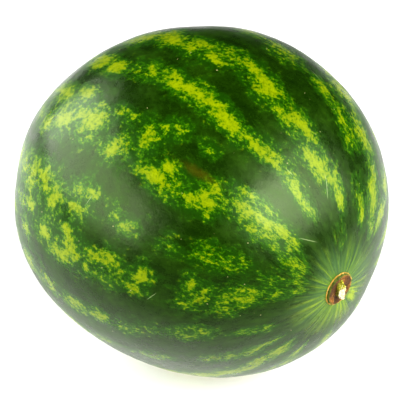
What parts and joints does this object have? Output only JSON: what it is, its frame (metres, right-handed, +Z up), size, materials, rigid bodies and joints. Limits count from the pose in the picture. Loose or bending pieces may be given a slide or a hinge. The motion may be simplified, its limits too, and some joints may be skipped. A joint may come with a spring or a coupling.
{
  "type": "watermelon",
  "caption": "Whole round-oval striped watermelon lying on a small flat of its rind, with the torn stub of its stalk at one end.",
  "frame": {"origin": "centre of the bounding box's bottom, on the surface that the fruit rests on", "axes": "+Z up from the resting flat, +X along the growth axis towards the stem end, +Y to the left of it"},
  "size_m": [0.248, 0.2366, 0.2231],
  "materials": {
    "rind": "satin",
    "stalk": "matte"
  },
  "bodies": {
    "root": {"melon": "rind", "stem_stub": "stalk"}
  },
  "joints": []
}
